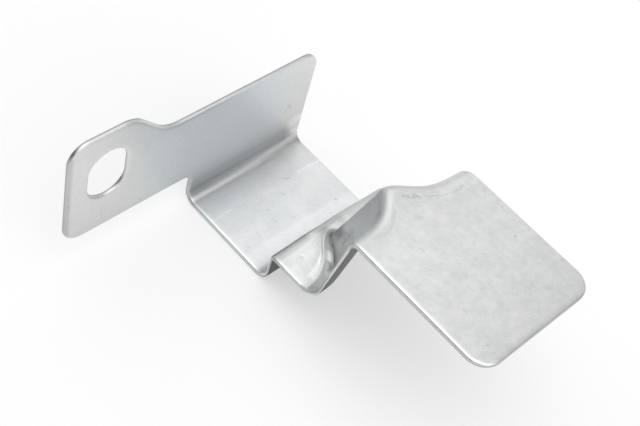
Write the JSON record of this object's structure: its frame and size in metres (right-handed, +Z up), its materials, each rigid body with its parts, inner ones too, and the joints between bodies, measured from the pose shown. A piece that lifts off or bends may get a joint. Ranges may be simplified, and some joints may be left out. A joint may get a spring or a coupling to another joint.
{
  "type": "stamped metal bracket",
  "caption": "Folded and pressed zinc-plated sheet-steel bracket: slotted mounting ear on an upright flange, low web, stepped tread, ribbed wall and a raised flat plate.",
  "frame": {"origin": "centre of the mounting slot, on the outer face of the upright flange", "axes": "+X from the flange along the strip to the plate's free end, +Y across the strip away from the ear, +Z up, square to the web and the plate"},
  "size_m": [0.1013, 0.0845, 0.049],
  "materials": {
    "zinc_plated_steel": "bright zinc plating on cold-rolled sheet, satin, lightly mottled, with bare-bright rolled edges"
  },
  "bodies": {
    "root": {"bracket": "zinc_plated_steel"}
  },
  "joints": []
}
